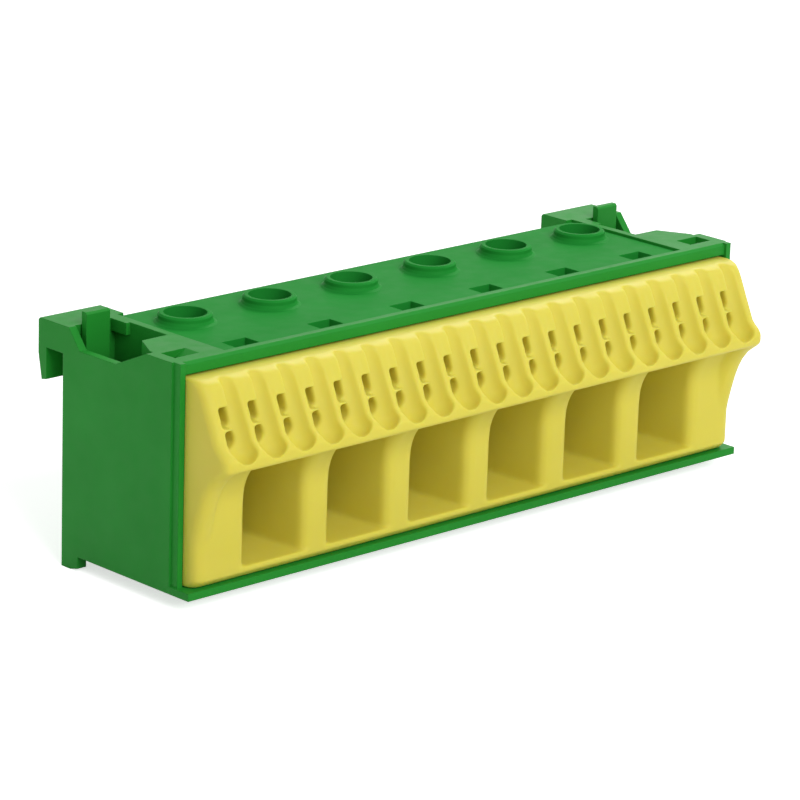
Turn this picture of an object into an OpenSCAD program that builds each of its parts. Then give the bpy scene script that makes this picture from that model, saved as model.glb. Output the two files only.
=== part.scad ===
// Earth terminal bar for a distribution board: large screw clamps in one row and
// push-in clamps for thin conductors in a second row above them, in one housing.
// X runs along the bar, +Y points to the carrier rail behind it, +Z to the clamp screws.
// The origin is the centre of the bounding box's bottom face.

/* [Housing] */
// Length of the housing
body_l = 105; // [104:0.5:112]
// Depth from the insert's front face to the back face
body_d = 26.2; // [26:0.1:30]
// Height from the underside to the top of the end blocks
body_h = 31.45; // [31:0.05:34]
// Thickness of the end walls
wall = 1.2; // [1:0.1:1.4]
// Thickness of the back wall
back_t = 2; // [1.2:0.1:2.4]
// Thickness of the bottom plate, whose front edge is the lower lip
floor_t = 1.05; // [0.8:0.05:1.1]
// Setback of the upper lip from the insert's front face
lip_back = 3; // [2.4:0.1:3.4]
// Depth of the upper lip along Y
lip_w = 1.3; // [0.8:0.1:1.5]
// Height of the upper lip
lip_t = 1.7; // [1.2:0.1:1.85]
// Setback of the end walls' front edge
side_back = 2.6; // [1.5:0.1:3]
// Width of the sunk strip along the end walls' front edge
strip_w = 1.3; // [0.6:0.1:2]
// Depth of that strip
strip_in = 0.3; // [0.1:0.05:0.5]

/* [End blocks] */
// Gap between a pocket's wall and the outermost cage
block_gap = 0.5; // [0.2:0.1:0.8]
// Front edge of the pocket, from the back face
pocket_back = 11.8; // [10:0.1:12]
// Floor of the pocket above the underside
pocket_z = 3; // [2:0.5:12]
// Depth of the end wall's notch
notch_h = 2.8; // [1:0.1:6]
// Width of the release finger
finger_w = 4; // [2:0.1:4.6]
// Thickness of the release finger
finger_t = 1; // [0.8:0.1:1.2]
// Height of the finger's tip above the end block
finger_rise = 1.85; // [0.5:0.05:4]

/* [Rail hooks and feet] */
// Length of each hook along X
hook_l = 10.3; // [6:0.1:14]
// Reach of the hook behind the back face
hook_out = 5.2; // [4:0.1:8]
// Thickness of the hook's arm
hook_arm = 3.85; // [2:0.05:6]
// Thickness of the hook's lip
hook_lip = 1.7; // [1:0.1:2.4]
// Height of the hook from its top to the lip's end
hook_h = 8.45; // [6.5:0.05:14]
// Height of the feet under the housing
foot_h = 2.05; // [1:0.05:4]
// Length of a foot along Y
foot_w = 3.4; // [1.5:0.1:6]
// Thickness of a foot along X
foot_t = 1.5; // [1:0.1:3]

/* [Cover] */
// Thickness of the cover plate
cover_t = 1.5; // [1.3:0.05:1.6]
// Step from the end blocks down to the cover
cover_drop = 0.35; // [0.2:0.05:0.5]
// Outer diameter of a collar at its top
collar_d = 7.4; // [7:0.1:9]
// Outer diameter of a collar at its foot
collar_foot_d = 8.6; // [8:0.1:11]
// Height of a collar above the cover
collar_h = 1.3; // [0.8:0.1:3]
// Bore of a collar, for the screwdriver
bore_d = 5.9; // [5.8:0.1:6.4]
// Width of a test window along X
window_x = 2.4; // [1.5:0.1:3]
// Length of a test window along Y
window_y = 2.8; // [1.5:0.1:3.2]
// Length of the slope that leads into a window
window_ramp = 1.8; // [1:0.1:2.4]
// Centre of the windows, from the insert's front face
window_at = 6.8; // [6.6:0.1:7.4]

/* [Large clamp ways] */
// Number of large ways
big_n = 6; // [2:1:6]
// Housing beyond the large ways at each end
big_end = 7.5; // [7.4:0.1:8]
// Width of a mouth between its rounded corners
mouth_w = 10; // [9:0.1:10.6]
// Radius of a mouth's upright corners
mouth_r = 1.5; // [0.5:0.1:1.7]
// Floor of the mouths above the underside
mouth_z = 2.8; // [2.2:0.1:3]
// Top of the mouths, from the top of the end blocks
mouth_drop = 14.05; // [13.9:0.05:15]
// Width of the throat at the back of the insert
throat_w = 7.8; // [7:0.1:8]

/* [Push-in ways] */
// Number of push-in ways
small_n = 20; // [4:1:20]
// Housing beyond the push-in ways at each end
small_end = 2.5; // [2.4:0.05:3]
// Radius of a conductor channel
channel_r = 2.1; // [1.8:0.05:2.2]
// How far the channel's axis lies in front of the slanted face at its foot
channel_out = 0.35; // [0:0.05:0.6]
// Lean of the channel out of the slanted face, in degrees
channel_lean = 4; // [0:0.5:6]
// Diameter of a conductor hole
wire_d = 2.6; // [2.2:0.1:2.8]
// Offset of the conductor holes to the left of their channels
wire_x = 0.8; // [0.6:0.1:1]
// Conductor holes, from the top of the end blocks
wire_drop = 9.55; // [9.4:0.05:9.7]
// Lower edge of the blocks, from the top of the end blocks
block_drop = 5.25; // [4.9:0.05:5.4]
// Width of a release slot
slot_w = 2.3; // [1.7:0.1:2.4]
// Thickness of the fins between slot and conductor hole
fin_t = 0.25; // [0.15:0.05:0.4]

/* [Front insert] */
// How far the nose reaches in front of the lower front face
nose_out = 5.8; // [5.4:0.1:7]
// Tip of the nose, from the top of the end blocks
nose_drop = 12.25; // [12.1:0.05:12.5]
// Radius of the hollow under the nose
hollow_r = 7; // [6.5:0.1:7.5]
// Start of the hollow, from the top of the end blocks
hollow_drop = 19.45; // [19.1:0.05:19.8]
// Width of the flared cheek beside each end of the hollow
cheek_w = 2.6; // [1.8:0.1:3.2]
// Height at which the cheeks start to flare
cheek_z = 7.2; // [5:0.1:9]
// Radius of the insert's upright outer edges
end_r = 1.3; // [0.4:0.1:1.4]
// Gap between the insert and the housing
fit_gap = 0.1; // [0.05:0.05:0.2]

/* [Earth bar] */
// Thickness of the bar's upright flanges
bar_t = 2; // [1.6:0.1:2.1]
// Thickness of the tongues under the screws
tongue_t = 2.5; // [2:0.1:3]
// Width of a tongue
tongue_w = 7.8; // [6:0.1:8.4]
// Underside of the tongues above the housing's underside
tongue_z = 10.8; // [10.4:0.1:11.2]
// Set-back from the bar's upper flange to its lower one
bar_step = 2.8; // [2.6:0.1:3.2]
// Gap between the tongues' ends and the back wall
rear_gap = 1.3; // [0.6:0.1:1.6]
// Tongue beyond the cages at the back
tongue_over = 0.4; // [0.2:0.1:0.6]
// Gap between the lower flange and the cages
cage_front = 0.6; // [0.4:0.1:0.8]
// Gap between loose metal parts
metal_gap = 0.1; // [0.05:0.05:0.2]

/* [Clamps] */
// Diameter of the screw's shank
screw_d = 5; // [4:0.1:5.4]
// Diameter of the screw's head
head_d = 5.7; // [5.5:0.1:5.8]
// Height of the screw's head
head_h = 5.1; // [3:0.1:5.4]
// Depth of the cross slot in a screw's head
slot_depth = 1.8; // [1:0.1:2.4]
// Radial running clearance of the screw in its cage
thread_gap = 0.05; // [0.02:0.01:0.09]
// Thickness of a cage's side walls
cage_t = 1.2; // [0.8:0.1:1.5]
// Thickness of a cage's top, which the screw runs in
cage_top = 2.5; // [2:0.1:3.2]
// Thickness of a cage's bottom
cage_bottom = 1.5; // [1:0.1:1.6]
// Length of a cage along Y
cage_y = 7; // [6:0.1:7]
// Sideways clearance of a cage on its tongue
cage_gap = 0.2; // [0.1:0.05:0.4]

/* [Springs] */
// Width of a spring leaf
spring_w = 3.2; // [2.4:0.1:3.3]
// Thickness of a spring leaf
spring_t = 0.4; // [0.2:0.05:0.45]
// Length of a spring's slanted tongue
leaf_l = 4.4; // [3.6:0.1:4.6]
// Length of a spring's straight back leaf
spring_back = 4.5; // [2:0.1:5]

/* [Hidden] */
$fn = 48;
eps = 0.01;
big_pitch = (body_l - 2 * big_end) / big_n;
small_pitch = (body_l - 2 * small_end) / small_n;
big_x = [for (i = [0 : big_n - 1]) (i - (big_n - 1) / 2) * big_pitch];
small_x = [for (i = [0 : small_n - 1]) (i - (small_n - 1) / 2) * small_pitch];
function two(i) = str(i < 10 ? "0" : "", i);
screw_names = [for (i = [1 : big_n]) str("clamp_screw_", i)];
cage_names = [for (i = [1 : big_n]) str("clamp_cage_", i)];
spring_names = [for (i = [1 : small_n]) str("spring_clip_", two(i))];

// cages and tongues, from the back face forwards
tongue_y = body_d - back_t - rear_gap;
screw_y = tongue_y - tongue_over - cage_y / 2;
drop_back = screw_y - cage_y / 2 - cage_front;
drop_y = drop_back - bar_t;
insert_d = drop_y - metal_gap;
upper_d = insert_d - bar_step;
cage_w = tongue_w + 2 * cage_gap;

// housing
end_x = body_l / 2;
block_x = big_x[big_n - 1] + cage_w / 2 + cage_t + block_gap;
pocket_y = body_d - pocket_back;
notch_run = 5.3;
cover_top = body_h - cover_drop;
cover_z = cover_top - cover_t;
lip_z = body_h - lip_t;
cover_y = lip_back + lip_w;
pocket_wall = 1.2;
finger_gap = 0.3;
pocket_in = end_x - wall;
pocket_out = block_x + pocket_wall;
hook_y = body_d + hook_out;
hook_plate = 1;
lip_bevel = 0.4;

// insert
insert_x = end_x - wall - fit_gap;
insert_z = floor_t + fit_gap;
insert_top = cover_z - fit_gap;
insert_edge = 1;
nose_z = body_h - nose_drop;
hollow_z = body_h - hollow_drop;
hollow_end = 50;
hollow_steps = 6;
mouth_top = body_h - mouth_drop;
wire_z = body_h - wire_drop;
block_z = body_h - block_drop;
shelf_z = body_h - 12.85;
face_top = [-1.1, body_h - 3.45];
face_foot = [-4.1, body_h - 9.95];
face_run = face_top - face_foot;
face_tilt = atan2(face_run[0], face_run[1]);
face_l = norm(face_run);
nose_under = nose_z - 1.05;
cup_drop = 0.7;
channel_end = face_l + 3;
chamber_y = 4.5;
chamber_w = spring_w + 0.6;
chamber_z = [body_h - 12.15, body_h - 3.05];
throat_top = tongue_z - 0.2;
end_plan_x = insert_x - end_r;

// bar, cages and screws
bar_y = upper_d + metal_gap;
bar_back = bar_y + bar_t;
bar_top = body_h - 4.55;
bar_end = small_x[small_n - 1] + 1.9;
drop_end = block_x - 0.3;
joggle_z = shelf_z + metal_gap;
window_w = spring_w + 0.2;
window_z = [body_h - 10.55, body_h - 6.05];
tongue_top = tongue_z + tongue_t;
screw_tip = tongue_top + metal_gap;
head_z = cover_z - 1 - head_h;
cage_foot = floor_t + 0.2;
cage_roof = tongue_top + cage_gap;

// frame
y_mid = (hook_y - nose_out) / 2;

// a profile in (y, z) drawn out along X
module run_x(x0, x1) {
    translate([x0, 0, 0]) rotate([90, 0, 90]) linear_extrude(x1 - x0) children();
}

module box(a, b) {
    translate(a) cube(b - a);
}

module both_ends() {
    children();
    mirror([1, 0, 0]) children();
}

module notch_profile() {
    y_back = body_d - hook_plate - 0.2;
    polygon([[y_back, body_h], [y_back - 2.3, body_h - notch_h], [pocket_y + 0.9, body_h - notch_h],
        [pocket_y - notch_run, body_h], [pocket_y - notch_run, body_h + 1], [y_back, body_h + 1]]);
}

// plan of the pocket beside the right-hand end wall
module pocket_plan() {
    post = [pocket_out - 0.7, body_d - 4.2];
    polygon([[pocket_in, pocket_y - 4.6], [pocket_in - 2.4, pocket_y - 0.1], [pocket_out, pocket_y],
        [pocket_out, post[1]], [post[0] + 1.4, post[1]], [post[0] + 1.4, body_d - hook_plate],
        [pocket_in, body_d - hook_plate]]);
}

// walls round the pocket, down to the bottom plate
module pocket_walls() {
    box([block_x, pocket_y - pocket_wall, floor_t - eps], [pocket_out, body_d - eps, body_h - lip_t]);
    box([block_x, pocket_y - pocket_wall, floor_t - eps], [end_x - eps, pocket_y, body_h - lip_t]);
    box([pocket_out - eps, pocket_y - eps, floor_t - eps], [end_x - eps, body_d - eps, pocket_z]);
    box([pocket_out - 0.7 + 1.4, body_d - 4.2, floor_t - eps], [pocket_out + 0.8, body_d - eps, body_h - lip_t]);
}

module end_wall() {
    difference() {
        box([end_x - wall, side_back, 0], [end_x, body_d, body_h]);
        box([end_x - strip_in, side_back - 1, floor_t], [end_x + 1, side_back + strip_w, body_h + 1]);
        run_x(end_x - wall - 1, end_x + 1) notch_profile();
    }
}

module hook() {
    lip_y = hook_y - hook_lip;
    run_x(end_x - hook_l, end_x) polygon([[body_d - hook_plate, body_h - hook_arm - 2], [body_d, body_h - hook_arm - 2],
        [body_d, body_h - hook_arm], [lip_y, body_h - hook_arm], [lip_y, body_h - hook_h + 0.2],
        [hook_y - 0.7, body_h - hook_h], [hook_y, body_h - hook_arm - 1], [hook_y, body_h - 0.3],
        [hook_y - 0.3, body_h], [body_d, body_h], [body_d, cover_z], [body_d - hook_plate, cover_z]]);
}

module foot() {
    run_x(end_x - foot_t, end_x) polygon([[body_d - foot_w, floor_t], [body_d - foot_w, -foot_h + 0.4],
        [body_d - foot_w + 1.6, -foot_h], [body_d, -foot_h], [body_d, floor_t]]);
}

// springy tongue that frees the hook, its tip above the end block
module release_finger() {
    x_mid = (pocket_in + pocket_out) / 2 + 0.5;
    y_back = body_d - hook_plate - finger_gap;
    run_x(x_mid - finger_w / 2, x_mid + finger_w / 2) polygon([[y_back - finger_t - 0.4, pocket_z - eps],
        [y_back - finger_t, pocket_z + 4], [y_back - finger_t, body_h + finger_rise - 0.3],
        [y_back - finger_t + 0.3, body_h + finger_rise], [y_back, body_h + finger_rise], [y_back, pocket_z - eps]]);
}

module end_block() {
    difference() {
        union() {
            box([block_x, lip_back + 0.5, body_h - lip_t], [end_x - eps, body_d, body_h]);
            pocket_walls();
            box([block_x, body_d - hook_plate, floor_t - eps], [end_x - eps, body_d, body_h]);
        }
        translate([0, 0, pocket_z]) linear_extrude(body_h) pocket_plan();
        run_x(end_x - wall - eps, end_x + 1) notch_profile();
        test_window(end_x - 2.9, body_h, lip_t + 1);
        box([end_x - strip_in, 0, 0], [end_x + 1, side_back + strip_w, body_h + 1]);
    }
    end_wall();
    hook();
    foot();
    release_finger();
}

// a window with a sloping lead-in on its left, cut from the face at z_top
module test_window(x, z_top, depth) {
    box([x - window_x / 2, window_at - window_y / 2, z_top - depth],
        [x + window_x / 2, window_at + window_y / 2, z_top + 1]);
    translate([0, window_at - window_y / 2, 0]) rotate([90, 0, 0]) mirror([0, 0, 1]) linear_extrude(window_y)
        polygon([[x - window_x / 2 - window_ramp, z_top + 0.02], [x - window_x / 2 + eps, z_top - 0.9],
            [x - window_x / 2 + eps, z_top + 0.02]]);
}

module housing() {
    color("forestgreen") {
        box([-end_x, 0, 0], [end_x, body_d, floor_t]);
        box([-block_x - eps, body_d - back_t, floor_t - eps], [block_x + eps, body_d, cover_z]);
        run_x(-end_x + strip_in, end_x - strip_in) polygon([[lip_back, lip_z], [cover_y, lip_z], [cover_y, body_h],
            [lip_back + lip_bevel, body_h], [lip_back, body_h - lip_bevel]]);
        both_ends() end_block();
    }
}

module collar() {
    rotate_extrude() polygon([[bore_d / 2, -cover_t / 2], [collar_foot_d / 2, -cover_t / 2], [collar_foot_d / 2, 0],
        [collar_foot_d / 2 - 0.4, 0.2], [collar_d / 2, 0.6], [collar_d / 2, collar_h - 0.25],
        [collar_d / 2 - 0.25, collar_h], [bore_d / 2, collar_h]]);
}

module top_cover() {
    color("mediumseagreen") difference() {
        union() {
            box([-block_x + fit_gap, cover_y + fit_gap, cover_z], [block_x - fit_gap, body_d, cover_top]);
            for (x = big_x) translate([x, screw_y, cover_top]) collar();
        }
        for (x = big_x) {
            translate([x, screw_y, cover_z - 1]) cylinder(d = bore_d, h = cover_t + collar_h + 2);
            test_window(x, cover_top, cover_t + 1);
        }
    }
}

// solid between rings of points that all have the same count, from the lowest ring up
module skin(rings) {
    n = len(rings[0]);
    last = (len(rings) - 1) * n;
    polyhedron([for (r = rings) each r], concat([[for (i = [0 : n - 1]) i]], [[for (i = [n - 1 : -1 : 0]) last + i]],
        [for (k = [0 : len(rings) - 2]) for (i = [0 : n - 1]) let (a = k * n, j = (i + 1) % n)
            [a + i, a + n + i, a + n + j, a + j]]));
}

// copies of a plan, each shifted by one [y, z] point of a path
function along(plan, path) = [for (p = path) [for (q = plan) [q[0], q[1] + p[0], p[1]]]];

function hollow_point(a, depth) = [(hollow_r + depth) * cos(a) - hollow_r, hollow_z + (hollow_r + depth) * sin(a)];

// front line of the insert in (y, z): lower front, hollow under the nose, nose, slanted face, top edge
front_line = concat([[insert_edge, insert_z], [0, insert_z + insert_edge]],
    [for (k = [0 : hollow_steps]) hollow_point(hollow_end * k / hollow_steps, 0)],
    [[-nose_out + 0.4, nose_under], [-nose_out, nose_under + 0.4], [-nose_out, nose_z + 0.6],
        [-nose_out + 0.5, nose_z + 1.3], [face_foot[0] - 0.5, face_foot[1] - 0.5], face_foot, face_top,
        [-0.3, insert_top - 0.45], [0.7, insert_top - 0.05]]);

// front line of the cheeks, which leave the lower front lower down than the hollow does
cheek_rise = nose_under - cheek_z;
cheek_line = [for (t = [0 : 1 / 8 : 1]) [-(nose_out - 0.4) * (0.55 * pow(t, 1.15) + 0.45 * pow(t, 6)), cheek_z + t * cheek_rise]];
end_line = concat([[insert_edge + 0.5, insert_z - 0.5], [0, insert_z + insert_edge]], cheek_line,
    [for (p = front_line) if (p[1] > nose_under + 0.1) p], [[1.2, insert_top + 0.5]]);

// quarter circle as straight chords, from the front edge round to the side
function edge_chords(x, r, steps) = [for (k = [0 : steps]) let (a = 90 * k / steps) [x + r * sin(a), r - r * cos(a)]];

module insert_limits(x0, x1) {
    run_x(x0, x1) polygon([[-nose_out - 1, insert_z], [-nose_out - 1, insert_top], [upper_d, insert_top],
        [upper_d, shelf_z], [insert_d, shelf_z], [insert_d, insert_z]]);
}

// end of the insert: its upright outer edge is rounded and follows the cheek and the nose
module insert_end() {
    intersection() {
        skin(along(concat([[end_plan_x - 0.02, insert_d + nose_out + 1], [end_plan_x - 0.02, 0]],
            edge_chords(end_plan_x, end_r, 4), [[insert_x, insert_d + nose_out + 1]]), end_line));
        insert_limits(end_plan_x - 1, insert_x + 1);
    }
}

// inner half of a cheek, which fades into the hollow
module cheek() {
    x = insert_x - cheek_w;
    skin(along([[x - 0.9, 3], [x - 0.5, 1.1], [x + 0.2, 0.3], [x + 0.9, 0.03], [end_plan_x + 0.1, 0.03], [end_plan_x + 0.1, 3]],
        concat([[0.1, cheek_z - 0.4]], cheek_line, [[-nose_out + 0.5, nose_under + 0.5]])));
}

// plan of a mouth's front with its rounded corners
function mouth_front() = concat([[-mouth_w / 2 - mouth_r, -1], [mouth_w / 2 + mouth_r, -1]],
    [for (s = [1, -1]) for (k = [0 : 3]) let (a = s > 0 ? 30 * k : 90 - 30 * k)
        [s * (mouth_w / 2 + mouth_r - mouth_r * sin(a)), mouth_r - mouth_r * cos(a)]]);

module mouth() {
    translate([0, 0, mouth_z]) linear_extrude(hollow_z - mouth_z + eps) polygon(mouth_front());
    skin([for (k = [0 : hollow_steps]) [for (q = mouth_front())
        let (p = hollow_point(hollow_end * k / hollow_steps, q[1])) [q[0], p[0], p[1]]]]);
    intersection() {
        run_x(-mouth_w / 2, mouth_w / 2) polygon([[-nose_out - 1, mouth_z], [-nose_out - 1, mouth_top], [0, mouth_top],
            [insert_d + 1, throat_top], [insert_d + 1, mouth_z]]);
        translate([0, 0, mouth_z]) linear_extrude(mouth_top) polygon([[-mouth_w / 2, -nose_out - 1],
            [mouth_w / 2, -nose_out - 1], [mouth_w / 2, mouth_r], [throat_w / 2, insert_d + 1],
            [-throat_w / 2, insert_d + 1], [-mouth_w / 2, mouth_r]]);
    }
}

// the slanted face's own frame: origin at its foot, Z up along it, +Y into the insert
module on_face() {
    translate([0, face_foot[0], face_foot[1]]) rotate([-face_tilt, 0, 0]) children();
}

// half-round conductor channel from its scoop out through the top edge, less the block beside its top
module channel() {
    block_up = (block_z - face_foot[1]) / cos(face_tilt);
    on_face() difference() {
        translate([0, -channel_out, -cup_drop]) rotate([channel_lean, 0, 0]) {
            cylinder(r = channel_r, h = channel_end + cup_drop);
            sphere(r = channel_r);
        }
        box([-channel_r - 1, 0.12, block_up], [-0.15, channel_r + 1, channel_end + 1]);
    }
}

module push_in_way() {
    channel();
    translate([-wire_x, face_foot[0], wire_z]) rotate([-90, 0, 0]) cylinder(d = wire_d, h = chamber_y - face_foot[0] + 1);
    box([-channel_r, face_foot[0] + 1, wire_z + wire_d / 2 + fin_t], [-channel_r + slot_w, chamber_y + 1, block_z - 0.1]);
    box([-chamber_w / 2, chamber_y, chamber_z[0]], [chamber_w / 2, insert_d + 1, chamber_z[1]]);
}

module fin() {
    z = wire_z + wire_d / 2;
    y = face_foot[0] + (z - face_foot[1]) * tan(face_tilt);
    box([-channel_r - 0.2, y, z], [-channel_r + 1.6, y + channel_r + 0.5, z + fin_t]);
}

module front_insert() {
    color("khaki") {
        difference() {
            union() {
                run_x(-end_plan_x, end_plan_x) polygon(concat(front_line,
                    [[2, insert_top], [upper_d, insert_top], [upper_d, shelf_z], [insert_d, shelf_z], [insert_d, insert_z]]));
                both_ends() {
                    insert_end();
                    cheek();
                }
            }
            for (x = big_x) translate([x, 0, 0]) {
                mouth();
                box([-window_x / 2, window_at - window_y / 2, chamber_z[1] - 1],
                    [window_x / 2, window_at + window_y / 2, insert_top + 1]);
            }
            for (x = small_x) translate([x, 0, 0]) push_in_way();
        }
        for (x = small_x) translate([x, 0, 0]) fin();
    }
}

module earth_bar() {
    color("goldenrod") difference() {
        union() {
            box([-bar_end, bar_y, joggle_z], [bar_end, bar_back, bar_top]);
            box([-drop_end, bar_y, joggle_z], [drop_end, drop_back, joggle_z + bar_t]);
            box([-drop_end, drop_y, tongue_z], [drop_end, drop_back, joggle_z + bar_t]);
            for (x = big_x) box([x - tongue_w / 2, drop_y, tongue_z], [x + tongue_w / 2, tongue_y, tongue_top]);
        }
        for (x = small_x) box([x - window_w / 2, bar_y - 1, window_z[0]], [x + window_w / 2, bar_back + 1, window_z[1]]);
    }
}

// frame that rises round its tongue and lifts the conductor against it
module clamp_cage(x) {
    half = cage_w / 2 + cage_t;
    y0 = screw_y - cage_y / 2;
    y1 = screw_y + cage_y / 2;
    color("silver") difference() {
        box([x - half, y0, cage_foot], [x + half, y1, cage_roof + cage_top]);
        box([x - cage_w / 2, y0 - 1, cage_foot + cage_bottom], [x + cage_w / 2, y1 + 1, cage_roof]);
        translate([x, screw_y, cage_roof - 1]) cylinder(r = screw_d / 2 + thread_gap, h = cage_top + 2);
    }
}

module clamp_screw(x) {
    slot = 1;
    color("lightsteelblue") translate([x, screw_y, 0]) difference() {
        union() {
            translate([0, 0, screw_tip + 0.5]) cylinder(d = screw_d, h = head_z - screw_tip - 0.5 + eps);
            translate([0, 0, screw_tip]) cylinder(d1 = screw_d - 1, d2 = screw_d, h = 0.5);
            translate([0, 0, head_z]) cylinder(d = head_d, h = head_h - 0.4);
            translate([0, 0, head_z + head_h - 0.4]) cylinder(d1 = head_d, d2 = head_d - 0.8, h = 0.4);
        }
        for (a = [0, 90]) rotate(a) box([-slot / 2, -head_d / 2 + 0.6 - (a == 0 ? 1 : 0), head_z + head_h - slot_depth],
            [slot / 2, head_d / 2 - 0.6 + (a == 0 ? 1 : 0), head_z + head_h + 1]);
    }
}

// leaf bent over the bar's upper edge, its tongue reaching through the bar's window
module spring_clip(x) {
    y_mid_bar = bar_y + bar_t / 2;
    r_in = bar_t / 2 + 2 * metal_gap;
    r_out = r_in + spring_t;
    leaf_top = [y_mid_bar - r_out, window_z[1] - 0.3];
    leaf_tilt = 28;
    color("gainsboro") run_x(x - spring_w / 2, x + spring_w / 2) {
        translate([y_mid_bar, bar_top + metal_gap]) intersection() {
            difference() {
                circle(r_out);
                circle(r_in);
            }
            translate([-r_out - 1, -eps]) square([2 * r_out + 2, r_out + 1]);
        }
        translate([y_mid_bar + r_in, bar_top - spring_back]) square([spring_t, spring_back + metal_gap]);
        translate(leaf_top) square([spring_t, bar_top + metal_gap - leaf_top[1]]);
        translate(leaf_top + [0, 0.1]) rotate(leaf_tilt) translate([0, -leaf_l]) square([spring_t, leaf_l]);
    }
}

translate([0, -y_mid, foot_h]) {
    housing();
    top_cover();
    front_insert();
    earth_bar();
    for (i = [0 : big_n - 1]) clamp_cage(big_x[i]);
    for (i = [0 : big_n - 1]) clamp_screw(big_x[i]);
    for (i = [0 : small_n - 1]) spring_clip(small_x[i]);
}
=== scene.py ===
"""Looks for an earth terminal bar: moulded green housing, pale yellow clamp insert, brass bar, zinc-plated clamps."""
import math
import time

import bmesh
import bpy
import numpy as np
from mathutils import Matrix, Vector


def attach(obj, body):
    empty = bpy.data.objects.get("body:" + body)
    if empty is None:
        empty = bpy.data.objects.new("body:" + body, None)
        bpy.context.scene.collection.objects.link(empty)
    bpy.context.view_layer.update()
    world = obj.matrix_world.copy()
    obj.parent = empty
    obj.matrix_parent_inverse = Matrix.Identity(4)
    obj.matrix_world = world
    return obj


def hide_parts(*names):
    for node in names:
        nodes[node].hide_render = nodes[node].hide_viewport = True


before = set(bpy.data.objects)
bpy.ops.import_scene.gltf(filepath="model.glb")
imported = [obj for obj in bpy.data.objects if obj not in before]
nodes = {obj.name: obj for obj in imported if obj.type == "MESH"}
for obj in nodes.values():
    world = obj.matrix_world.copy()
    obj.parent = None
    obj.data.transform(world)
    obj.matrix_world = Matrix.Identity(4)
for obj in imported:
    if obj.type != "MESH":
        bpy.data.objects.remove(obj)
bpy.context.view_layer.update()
MM = 0.001


# ---------------------------------------------------------------- camera

def place_camera():
    """Camera on a long lens, given by the direction it looks from, its distance and a small roll about its axis."""
    azimuth, elevation, roll = (math.radians(a) for a in (43.709, 16.643, 1.817))
    target = Vector((-15.598, -12.8, 22.718)) * MM
    distance = 551.741 * MM
    back = Vector((-math.sin(azimuth) * math.cos(elevation), -math.cos(azimuth) * math.cos(elevation), math.sin(elevation)))
    right = Vector((math.cos(azimuth), -math.sin(azimuth), 0.0))
    up = back.cross(right)
    turned_right = math.cos(roll) * right + math.sin(roll) * up
    turned_up = math.cos(roll) * up - math.sin(roll) * right
    data = bpy.data.cameras.new("camera")
    data.sensor_width = 36.0
    data.lens = 184.8
    data.clip_start = 0.01
    data.clip_end = 20.0
    camera = bpy.data.objects.new("camera", data)
    bpy.context.scene.collection.objects.link(camera)
    axes = Matrix((turned_right, turned_up, back)).transposed()
    camera.matrix_world = Matrix.Translation(target + back * distance) @ axes.to_4x4()
    bpy.context.scene.camera = camera


place_camera()


# ---------------------------------------------------------------- materials

class Nodes:
    """Short way to lay out a node material: each call adds one node, sets its sockets and links what it is given."""

    def __init__(self, name):
        self.material = bpy.data.materials.new(name)
        self.material.use_nodes = True
        self.tree = self.material.node_tree
        self.tree.nodes.clear()
        self.output = self.tree.nodes.new("ShaderNodeOutputMaterial")

    def add(self, kind, settings=None, **sockets):
        node = self.tree.nodes.new("ShaderNode" + kind)
        for key, value in (settings or {}).items():
            setattr(node, key, value)
        for key, value in sockets.items():
            socket = node.inputs[key.replace("_", " ")] if key.replace("_", " ") in node.inputs else node.inputs[int(key[1:])]
            if isinstance(value, bpy.types.NodeSocket):
                self.tree.links.new(value, socket)
            else:
                socket.default_value = value
        return node

    def noise(self, scale, detail=3.0, rough=0.5, stretch=(1.0, 1.0, 1.0)):
        place = self.add("TexCoord").outputs["Object"]
        mapped = self.add("Mapping", Vector=place, Scale=stretch).outputs["Vector"]
        return self.add("TexNoise", Vector=mapped, Scale=scale, Detail=detail, Roughness=rough).outputs["Fac"]

    def ramp(self, value, low, high, a=0.0, b=1.0):
        return self.add("MapRange", Value=value, From_Min=a, From_Max=b, To_Min=low, To_Max=high).outputs["Result"]

    def tint(self, fac, first, second):
        mix = self.add("Mix", {"data_type": "RGBA"}, Factor=fac)
        mix.inputs[6].default_value = (*first, 1.0)
        mix.inputs[7].default_value = (*second, 1.0)
        return mix.outputs[2]


def moulded_plastic(name, colour, shade, roughness, edge, gloss, subsurface=0.0, radius=(1.0, 1.0, 1.0), scale=0.001):
    """Injection-moulded polyamide: colour drifts slowly along the melt flow, the skin has a fine spark-eroded grain,
    gloss varies in soft patches, and the edges are slightly rounded."""
    m = Nodes(name)
    flow = m.noise(90.0, 3.0, 0.55, (0.35, 1.0, 1.0))
    patches = m.noise(420.0, 2.0, 0.5)
    grain = m.noise(9000.0, 2.0, 0.6)
    base = m.tint(m.ramp(flow, 0.0, 1.0, 0.3, 0.7), colour, shade)
    rough = m.ramp(patches, roughness - 0.05, roughness + 0.06, 0.3, 0.7)
    soft = m.add("Bevel", {"samples": 6}, Radius=edge * MM).outputs["Normal"]
    bump = m.add("Bump", Strength=0.12, Distance=0.00003, Height=grain, Normal=soft).outputs["Normal"]
    shader = m.add("BsdfPrincipled", Base_Color=base, Roughness=rough, Normal=bump, IOR=1.5,
                   Specular_IOR_Level=gloss)
    if subsurface:
        shader.subsurface_method = "RANDOM_WALK"
        shader.inputs["Subsurface Weight"].default_value = subsurface
        shader.inputs["Subsurface Radius"].default_value = radius
        shader.inputs["Subsurface Scale"].default_value = scale
    m.tree.links.new(shader.outputs[0], m.output.inputs[0])
    return m.material


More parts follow.
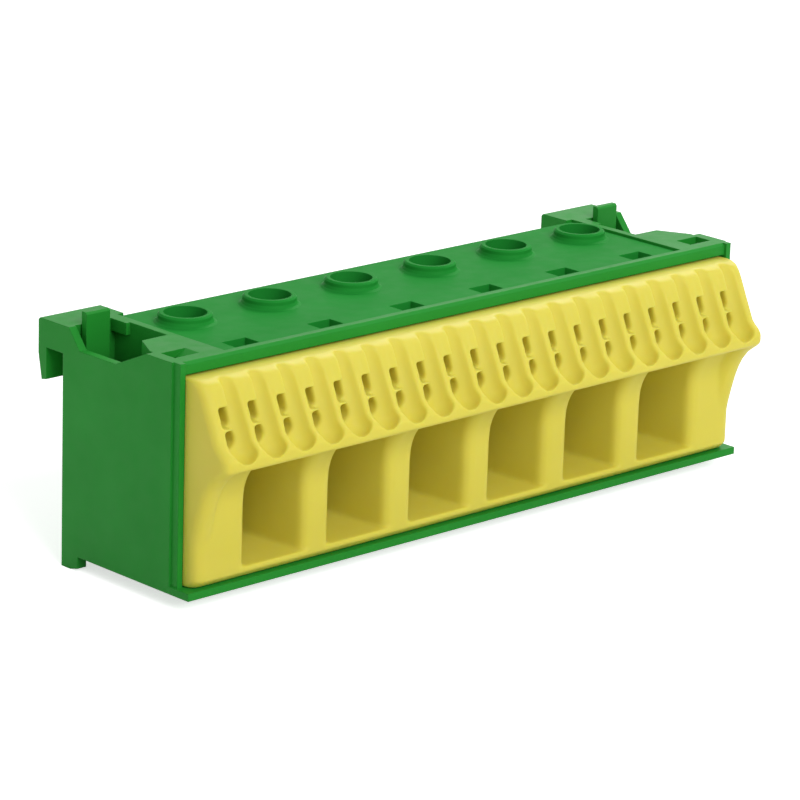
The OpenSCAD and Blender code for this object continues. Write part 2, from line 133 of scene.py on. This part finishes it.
def plated_metal(name, colour, shade, roughness, brush, stretch, bump_strength):
    """Metal part with a drawn or plated skin: fine lines along the drawing direction over slow changes of tone."""
    m = Nodes(name)
    lines = m.noise(brush, 4.0, 0.6, stretch)
    cloud = m.noise(300.0, 3.0, 0.5)
    base = m.tint(m.ramp(cloud, 0.0, 1.0, 0.35, 0.65), colour, shade)
    rough = m.ramp(lines, roughness - 0.08, roughness + 0.12, 0.3, 0.7)
    bump = m.add("Bump", Strength=bump_strength, Distance=0.00002, Height=lines).outputs["Normal"]
    shader = m.add("BsdfPrincipled", Base_Color=base, Roughness=rough, Normal=bump, Metallic=1.0)
    m.tree.links.new(shader.outputs[0], m.output.inputs[0])
    return m.material


green = moulded_plastic("green_moulding", (0.022, 0.300, 0.034), (0.016, 0.262, 0.026), 0.42, 0.16, 0.10)
green_cover = moulded_plastic("green_cover_moulding", (0.020, 0.300, 0.040), (0.015, 0.262, 0.032), 0.45, 0.16, 0.02)
yellow = moulded_plastic("yellow_moulding", (0.80, 0.71, 0.11), (0.77, 0.68, 0.095), 0.45, 0.12, 0.15, 0.45, (1.0, 0.75, 0.18), 0.0016)
brass = plated_metal("drawn_brass", (0.74, 0.58, 0.30), (0.66, 0.50, 0.24), 0.34, 1500.0, (0.03, 1.0, 1.0), 0.25)
zinc = plated_metal("zinc_plating", (0.62, 0.64, 0.66), (0.54, 0.56, 0.57), 0.36, 1800.0, (1.0, 1.0, 0.05), 0.2)
spring_steel = plated_metal("spring_strip", (0.66, 0.66, 0.65), (0.58, 0.58, 0.58), 0.26, 2000.0, (1.0, 0.04, 0.04), 0.15)


def finish_node(name, material):
    data = nodes[name].data
    data.materials.clear()
    data.materials.append(material)


for name in nodes:
    if name == "housing":
        finish_node(name, green)
    elif name == "top_cover":
        finish_node(name, green_cover)
    elif name == "front_insert":
        finish_node(name, yellow)
    elif name == "earth_bar":
        finish_node(name, brass)
    elif name.startswith("clamp_"):
        finish_node(name, zinc)
    else:
        finish_node(name, spring_steel)


# ---------------------------------------------------------------- moulded skin of the insert

def smoothed(points, edges, rounds, pull):
    """Each point moves by the factor pull towards the mean of its neighbours, round after round, which rounds the
    edges and blends the walls of a moulding into each other."""
    count = np.bincount(edges.ravel(), minlength=len(points)).astype(np.float64)
    a, b = edges[:, 0], edges[:, 1]
    for _ in range(rounds):
        total = np.empty_like(points)
        for axis in range(3):
            total[:, axis] = (np.bincount(a, points[b, axis], len(points)) + np.bincount(b, points[a, axis], len(points)))
        points = points + pull * (total / count[:, None] - points)
    return points


def rounded_mouths(points, centres, half, radius):
    """Rounds the upright edges of the large mouths along the hollow under the nose. A point's depth d behind the
    hollow is its distance from the hollow's axis less the hollow's radius, and u is how far it lies outside a mouth.
    Where u and d are both under the radius, a point that stands out of the quarter circle about (radius, radius) is
    drawn straight back onto it. The rounding fades out where the hollow meets the nose."""
    y, z = points[:, 1] - AXIS[0], points[:, 2] - AXIS[1]
    away = np.hypot(y, z)
    turn = np.degrees(np.arctan2(z, y))
    depth = away - HOLLOW
    u = np.abs(points[:, 0, None] - np.array(centres)[None]).min(axis=1) - half
    size = radius * np.clip((54.0 - turn) / 10.0, 0.0, 1.0) * (turn > -4.0)
    reach = np.hypot(size - u, size - depth)
    inside = (u > -0.3) & (u < size) & (depth > -0.3) & (depth < size) & (reach > size) & (size > 0.05)
    pull = np.where(inside, size / np.maximum(reach, 1e-9), 1.0)
    new_u = size - (size - u) * pull
    new_depth = size - (size - depth) * pull
    side = points[:, 0] - np.array(centres)[np.abs(points[:, 0, None] - np.array(centres)[None]).argmin(axis=1)]
    moved = points.copy()
    moved[:, 0] += np.where(inside, np.sign(side) * (new_u - u), 0.0)
    stretch = np.where(inside, (HOLLOW + new_depth) / np.maximum(away, 1e-9), 1.0)
    moved[:, 1] = AXIS[0] + y * stretch
    moved[:, 2] = AXIS[1] + z * stretch
    return moved


def fins(centres, left, right, front, back, low, high, taper):
    """Thin webs between each conductor hole and its release slot: at every centre a bar from left to right whose
    front edge is thinner than its root by the factor taper. All lengths in millimetres in the part's frame."""
    middle, half = 0.5 * (low + high), 0.5 * (high - low)
    corner = np.array([(left, front, middle - half * taper), (right, front, middle - half * taper),
                       (right, back, middle - half), (left, back, middle - half),
                       (left, front, middle + half * taper), (right, front, middle + half * taper),
                       (right, back, middle + half), (left, back, middle + half)])
    side = np.array([(0, 3, 2, 1), (4, 5, 6, 7), (0, 1, 5, 4), (1, 2, 6, 5), (2, 3, 7, 6), (3, 0, 4, 7)])
    points = corner[None] + np.array([(x, 0.0, 0.0) for x in centres])[:, None]
    faces = side[None] + 8 * np.arange(len(centres))[:, None, None]
    return points.reshape(-1, 3) * MM, faces.reshape(-1, 4)


def moulded_insert():
    """Skin of the clamp insert: the solid is resampled on a fine cubic grid, its points are smoothed so that every
    rib, scoop and mouth has the soft edge of a moulding, and flat stretches are thinned."""
    body = bpy.data.meshes.new("insert_body")
    shell = bmesh.new()
    shell.from_mesh(nodes["front_insert"].data)
    bmesh.ops.remove_doubles(shell, verts=shell.verts, dist=1e-6)
    shell.to_mesh(body)
    shell.free()
    piece = bpy.data.objects.new("moulded_insert", body)
    bpy.context.scene.collection.objects.link(piece)
    grid = piece.modifiers.new("grid", "REMESH")
    grid.mode = "VOXEL"
    grid.voxel_size = VOXEL * MM
    baked = bpy.data.meshes.new_from_object(piece.evaluated_get(bpy.context.evaluated_depsgraph_get()))
    piece.modifiers.clear()
    points = np.empty(len(baked.vertices) * 3)
    baked.vertices.foreach_get("co", points)
    edges = np.empty(len(baked.edges) * 2, dtype=np.int32)
    baked.edges.foreach_get("vertices", edges)
    points = rounded_mouths(points.reshape(-1, 3) / MM, MOUTHS, 5.0, 1.5)
    points = smoothed(points, edges.reshape(-1, 2), ROUNDS, 0.6) * MM
    baked.vertices.foreach_set("co", points.ravel())
    baked.update()
    piece.data = baked
    thin = piece.modifiers.new("thin", "DECIMATE")
    thin.ratio = min(1.0, 185000.0 / sum(len(p.vertices) - 2 for p in baked.polygons))
    final = bpy.data.meshes.new_from_object(piece.evaluated_get(bpy.context.evaluated_depsgraph_get()))
    piece.modifiers.clear()
    piece.data = final
    print("insert triangles", sum(len(p.vertices) - 2 for p in final.polygons))
    return piece


VOXEL, ROUNDS = 0.2, 6
HOLLOW = 7.0
AXIS = (-19.8, 14.05)
MOUTHS = [15.0 * (k - 2.5) for k in range(6)]
clock = time.time()
insert = moulded_insert()
print("insert seconds", time.time() - clock)
insert.data.materials.clear()
insert.data.materials.append(yellow)
insert.data.shade_smooth()
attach(insert, "bar")
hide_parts("front_insert")


# ---------------------------------------------------------------- floor, backdrop and light

def backdrop():
    """Flat pale floor that reads white to the camera and keeps the bar's soft shadow."""
    m = Nodes("studio_floor")
    diffuse = m.add("BsdfDiffuse", Color=(0.86, 0.86, 0.86, 1.0), Roughness=1.0)
    glow = m.add("Emission", Color=(1.0, 1.0, 1.0, 1.0), Strength=0.62)
    both = m.add("AddShader")
    m.tree.links.new(diffuse.outputs[0], both.inputs[0])
    m.tree.links.new(glow.outputs[0], both.inputs[1])
    rays = m.add("LightPath")
    seen = m.add("Math", {"operation": "MAXIMUM"}, _0=rays.outputs["Is Camera Ray"], _1=rays.outputs["Is Glossy Ray"])
    clear = m.add("Math", {"operation": "MAXIMUM"}, _0=seen.outputs[0], _1=rays.outputs["Is Transmission Ray"])
    mix = m.add("MixShader")
    m.tree.links.new(clear.outputs[0], mix.inputs[0])
    m.tree.links.new(diffuse.outputs[0], mix.inputs[1])
    m.tree.links.new(both.outputs[0], mix.inputs[2])
    m.tree.links.new(mix.outputs[0], m.output.inputs[0])
    size = 6.0
    mesh = bpy.data.meshes.new("floor")
    mesh.from_pydata([(-size, -size, 0.0), (size, -size, 0.0), (size, size, 0.0), (-size, size, 0.0)], [], [(0, 1, 2, 3)])
    mesh.materials.append(m.material)
    floor = bpy.data.objects.new("floor", mesh)
    bpy.context.scene.collection.objects.link(floor)


def softbox(name, place, aim, width, height, watts, colour=(1.0, 1.0, 1.0)):
    """Rectangular studio lamp at a place, turned to face the aim point; sizes in metres."""
    data = bpy.data.lights.new(name, "AREA")
    data.shape = "RECTANGLE"
    data.size, data.size_y = width, height
    data.energy = watts
    data.color = colour
    lamp = bpy.data.objects.new(name, data)
    bpy.context.scene.collection.objects.link(lamp)
    direction = Vector(aim) - Vector(place)
    lamp.matrix_world = Matrix.Translation(Vector(place)) @ direction.to_track_quat("-Z", "Y").to_matrix().to_4x4()


backdrop()
centre = (0.0, 0.0, 0.018)
softbox("key_front", (-0.12, -0.82, 0.56), centre, 0.7, 0.5, 5.2)
softbox("top_bank", (0.66, 0.30, 0.685), centre, 0.5, 0.4, 4.2)

world = bpy.data.worlds.new("studio")
bpy.context.scene.world = world
world.use_nodes = True
tree = world.node_tree
tree.nodes.clear()
world_out = tree.nodes.new("ShaderNodeOutputWorld")
ambient = tree.nodes.new("ShaderNodeBackground")
ambient.inputs["Color"].default_value = (1.0, 1.0, 1.0, 1.0)
ambient.inputs["Strength"].default_value = 0.40
white = tree.nodes.new("ShaderNodeBackground")
white.inputs["Color"].default_value = (1.0, 1.0, 1.0, 1.0)
white.inputs["Strength"].default_value = 1.0
rays = tree.nodes.new("ShaderNodeLightPath")
mix = tree.nodes.new("ShaderNodeMixShader")
camera_or_gloss = tree.nodes.new("ShaderNodeMath")
camera_or_gloss.operation = "MAXIMUM"
clear = tree.nodes.new("ShaderNodeMath")
clear.operation = "MAXIMUM"
tree.links.new(rays.outputs["Is Camera Ray"], camera_or_gloss.inputs[0])
tree.links.new(rays.outputs["Is Glossy Ray"], camera_or_gloss.inputs[1])
tree.links.new(camera_or_gloss.outputs[0], clear.inputs[0])
tree.links.new(rays.outputs["Is Transmission Ray"], clear.inputs[1])
tree.links.new(clear.outputs[0], mix.inputs[0])
tree.links.new(ambient.outputs[0], mix.inputs[1])
tree.links.new(white.outputs[0], mix.inputs[2])
tree.links.new(mix.outputs[0], world_out.inputs[0])

bpy.context.scene.view_settings.view_transform = "Standard"
